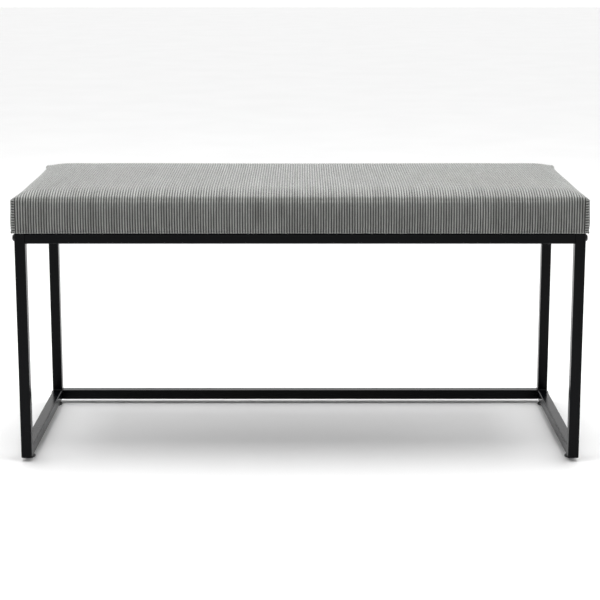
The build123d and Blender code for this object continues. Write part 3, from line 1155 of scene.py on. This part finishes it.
@dataclass
class FootScrew:
    """One foot's stem: domed head in the pad, hexagon above it and a rolled thread."""

    corner: Corner
    wardrobe: Wardrobe
    pitch: float = 1.0 * MM
    thread_radius: float = 3 * MM
    thread_depth: float = 0.55 * MM
    steps: int = 24
    head_radius: float = 4.5 * MM
    head_height: float = 2.2 * MM
    head_round: float = 0.5 * MM
    head_sides: int = 32
    core_sides: int = 24
    hexagon_half: float = 6 * MM
    hexagon_gap: float = 0.1 * MM
    hexagon_round: float = 0.35 * MM
    weld: float = 0.02 * MM
    flat: float = 0.001 * MM

    def build(self) -> Piece:
        """Make the stem in place of its plain node.

        Returns:
            The stem.
        """
        node = f"{self.corner.value}_foot_stem"
        low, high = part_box(node)
        pad_low, pad_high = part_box(f"{self.corner.value}_foot_pad")
        insert_low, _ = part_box("foot_inserts")
        x, y = (low.x + high.x) / 2, (pad_low.y + pad_high.y) / 2
        neck, core = low.z + self.head_height, self.thread_radius - self.thread_depth
        hexagon = (pad_high.z + self.hexagon_gap, insert_low.z)
        across = self.hexagon_half / math.cos(math.pi / 6)
        shape = bmesh.new()
        self.disc(shape, self.head_radius, low.z, neck, self.head_sides, self.head_round)
        self.disc(shape, core, neck, hexagon[0], self.core_sides, 0.0)
        self.disc(shape, across, *hexagon, 6, self.hexagon_round)
        self.thread(shape, hexagon[1], high.z)
        bmesh.ops.translate(shape, vec=(x, y, 0), verts=shape.verts)
        piece = new_piece(f"{self.corner.value}_foot_screw_thread", shape, smooth=False)
        self.wardrobe.fit(piece, f"{self.corner.value}_foot_screw", node, "zinc_plated_steel")
        return piece

    def disc(
        self, shape: Shape, radius: float, bottom: float, top: float, sides: int, edge: float
    ) -> None:
        """Add an upright disc.

        Args:
            shape: mesh it is added to.
            radius: over its corners.
            bottom: height of its underside.
            top: height of its top.
            sides: number of sides.
            edge: size of the bevel on its rims.
        """
        made = bmesh.ops.create_cone(
            shape, cap_ends=True, segments=sides, radius1=radius, radius2=radius,
            depth=top - bottom, matrix=Matrix.Translation((0, 0, (bottom + top) / 2)),
        )["verts"]
        if edge > 0:
            rims = dict.fromkeys(e for v in made for e in v.link_edges)
            level = [e for e in rims if abs(e.verts[0].co.z - e.verts[1].co.z) < self.flat]
            round_edges(shape, level, edge, 2)

    def thread(self, shape: Shape, bottom: float, top: float) -> None:
        """Add a rolled thread: a toothed line spun up by one pitch a turn, closed at both ends.

        Args:
            shape: mesh it is added to.
            bottom: height where it starts.
            top: height where it ends.
        """
        turns = math.ceil((top - bottom) / self.pitch) + 4
        rod = bmesh.new()
        crest, root = self.thread_radius, self.thread_radius - self.thread_depth
        tooth = ((0.00, root), (0.12, root), (0.44, crest), (0.56, crest), (0.88, root))
        first = bottom - 2 * self.pitch
        line = [
            rod.verts.new((radius, 0, first + (k + share) * self.pitch))
            for k in range(turns) for share, radius in tooth
        ]
        edges = [rod.edges.new(pair) for pair in zip(line, line[1:])]
        bmesh.ops.spin(
            rod, geom=line + edges, cent=(0, 0, 0), axis=(0, 0, 1),
            dvec=(0, 0, self.pitch / self.steps), angle=2 * math.pi, steps=self.steps,
            use_merge=False, use_duplicate=False,
        )
        bmesh.ops.remove_doubles(rod, verts=rod.verts, dist=self.weld)
        for height, above in ((bottom, False), (top, True)):
            geom = rod.verts[:] + rod.edges[:] + rod.faces[:]
            bmesh.ops.bisect_plane(
                rod, geom=geom, plane_co=(0, 0, height), plane_no=(0, 0, 1),
                clear_outer=above, clear_inner=not above,
            )
            rim = [
                e for e in rod.edges
                if e.is_boundary and all(abs(v.co.z - height) < self.flat for v in e.verts)
            ]
            bmesh.ops.contextual_create(rod, geom=rim)
        bmesh.ops.recalc_face_normals(rod, faces=rod.faces)
        bare = bpy.data.meshes.new("rod")
        rod.to_mesh(bare)
        rod.free()
        shape.from_mesh(bare)
        bpy.data.meshes.remove(bare)


# ---- Frame and hardware ----


@dataclass
class SteelFrame:
    """The tubes, welds, bolts, plugs, inserts, screws, nuts and staples, kept as they are."""

    nodes: dict
    record: dict
    wardrobe: Wardrobe
    weld_coat: PowderCoat = field(
        default_factory=lambda: PowderCoat(
            name="powder_coat_over_weld", ripple_scale=160.0, roughness=0.38
        )
    )

    def build(self) -> list[Piece]:
        """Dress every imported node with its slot's finish.

        Returns:
            The dressed nodes.
        """
        slots = {row["node"]: row["material_slot"] for row in self.record["subparts"]}
        for name, node in sorted(self.nodes.items()):
            material = self.wardrobe.finish(slots[name])
            if name.endswith("_frame_welds"):
                material = self.wardrobe.own(self.weld_coat)
            self.wardrobe.dress(node, material)
        return [self.nodes[name] for name in sorted(self.nodes)]


# ---- Studio ----


@dataclass
class Studio:
    """Pale floor, soft light from above and behind, and the camera."""

    camera_place: Triple = (0.0, -2.830, 0.915)
    camera_pitch: float = 10.26
    lens: float = 92.3
    shift: float = -0.13
    floor_size: float = 40.0
    floor_tone: tuple[float, float] = (0.84, 0.86)
    top_power: float = 68.0
    top_place: Triple = (0.0, -0.05, 2.6)
    top_aim: Triple = (0.0, 0.0, 0.4)
    top_size: tuple[float, float] = (2.6, 1.6)
    front_sky: float = 0.06
    back_sky: float = 2.0
    sky_turn: tuple[float, float] = (-0.36, -0.10)

    def floor(self) -> Piece:
        """The pale floor."""
        shape = bmesh.new()
        bmesh.ops.create_grid(shape, x_segments=1, y_segments=1, size=self.floor_size / 2)
        piece = new_piece("studio_floor", shape)
        board = NodeBoard("studio_floor_paper")
        tone = board.spread(board.grain(board.place(), 3.0, 2.0), 0.3, 0.7, *self.floor_tone)
        paper = board.finish({"Base Color": board.grey(tone), "Roughness": 0.9})
        piece.data.materials.append(paper)
        return piece

    def sky(self) -> None:
        """Soft surrounding light, brighter from behind the bench than from in front."""
        world = bpy.data.worlds.new("studio_sky")
        bpy.context.scene.world = world
        world.use_nodes = True
        tree = world.node_tree
        tree.nodes.clear()
        where = tree.nodes.new("ShaderNodeTexCoord")
        split = tree.nodes.new("ShaderNodeSeparateXYZ")
        fade = tree.nodes.new("ShaderNodeMapRange")
        for k, value in enumerate((*self.sky_turn, self.front_sky, self.back_sky), start=1):
            fade.inputs[k].default_value = value
        glow = tree.nodes.new("ShaderNodeBackground")
        end = tree.nodes.new("ShaderNodeOutputWorld")
        tree.links.new(where.outputs["Generated"], split.inputs[0])
        tree.links.new(split.outputs["Y"], fade.inputs["Value"])
        tree.links.new(fade.outputs["Result"], glow.inputs["Strength"])
        tree.links.new(glow.outputs["Background"], end.inputs["Surface"])

    def softbox(self) -> None:
        """Hang the one soft light over the seat."""
        lamp = bpy.data.lights.new("top_softbox", "AREA")
        lamp.shape = "RECTANGLE"
        lamp.size, lamp.size_y = self.top_size
        lamp.energy = self.top_power
        aim = Vector(self.top_aim) - Vector(self.top_place)
        holder = bpy.data.objects.new("top_softbox", lamp)
        holder.location = self.top_place
        holder.rotation_euler = aim.to_track_quat("-Z", "Y").to_euler()
        bpy.context.scene.collection.objects.link(holder)

    def camera(self) -> None:
        """Set up the camera and the plain colour transform."""
        lens = bpy.data.cameras.new("studio_camera")
        lens.lens = self.lens
        lens.shift_y = self.shift
        holder = bpy.data.objects.new("studio_camera", lens)
        holder.location = self.camera_place
        holder.rotation_euler = (math.radians(90 - self.camera_pitch), 0.0, 0.0)
        bpy.context.scene.collection.objects.link(holder)
        bpy.context.scene.camera = holder
        bpy.context.scene.view_settings.view_transform = "Standard"

    def build(self) -> None:
        """Build the whole studio."""
        self.floor()
        self.sky()
        self.softbox()
        self.camera()


# ---- The bench ----


def report(pieces: list[Piece]) -> None:
    """Log each piece's size and number of faces."""
    for piece in pieces:
        size = tuple(round(side * 1000, 1) for side in piece.dimensions)
        log.info("%s: %s mm, %d faces", piece.name, size, len(piece.data.polygons))


def main() -> None:
    """Build the studio, the frame, the seat and the feet."""
    logging.basicConfig(level=logging.INFO, format="%(name)s %(message)s")
    wardrobe = Wardrobe()
    Studio().build()
    report(SteelFrame(frame["nodes"], frame["record"], wardrobe).build())
    form = CushionForm(*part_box("seat_cover"))
    report(SeatPad(form, wardrobe).build())
    report([SeatCover(form, wardrobe).build()])
    report([DustCover(wardrobe).build()])
    report([FootScrew(corner, wardrobe).build() for corner in Corner])
    bpy.context.view_layer.update()


if __name__ == "__main__":
    main()
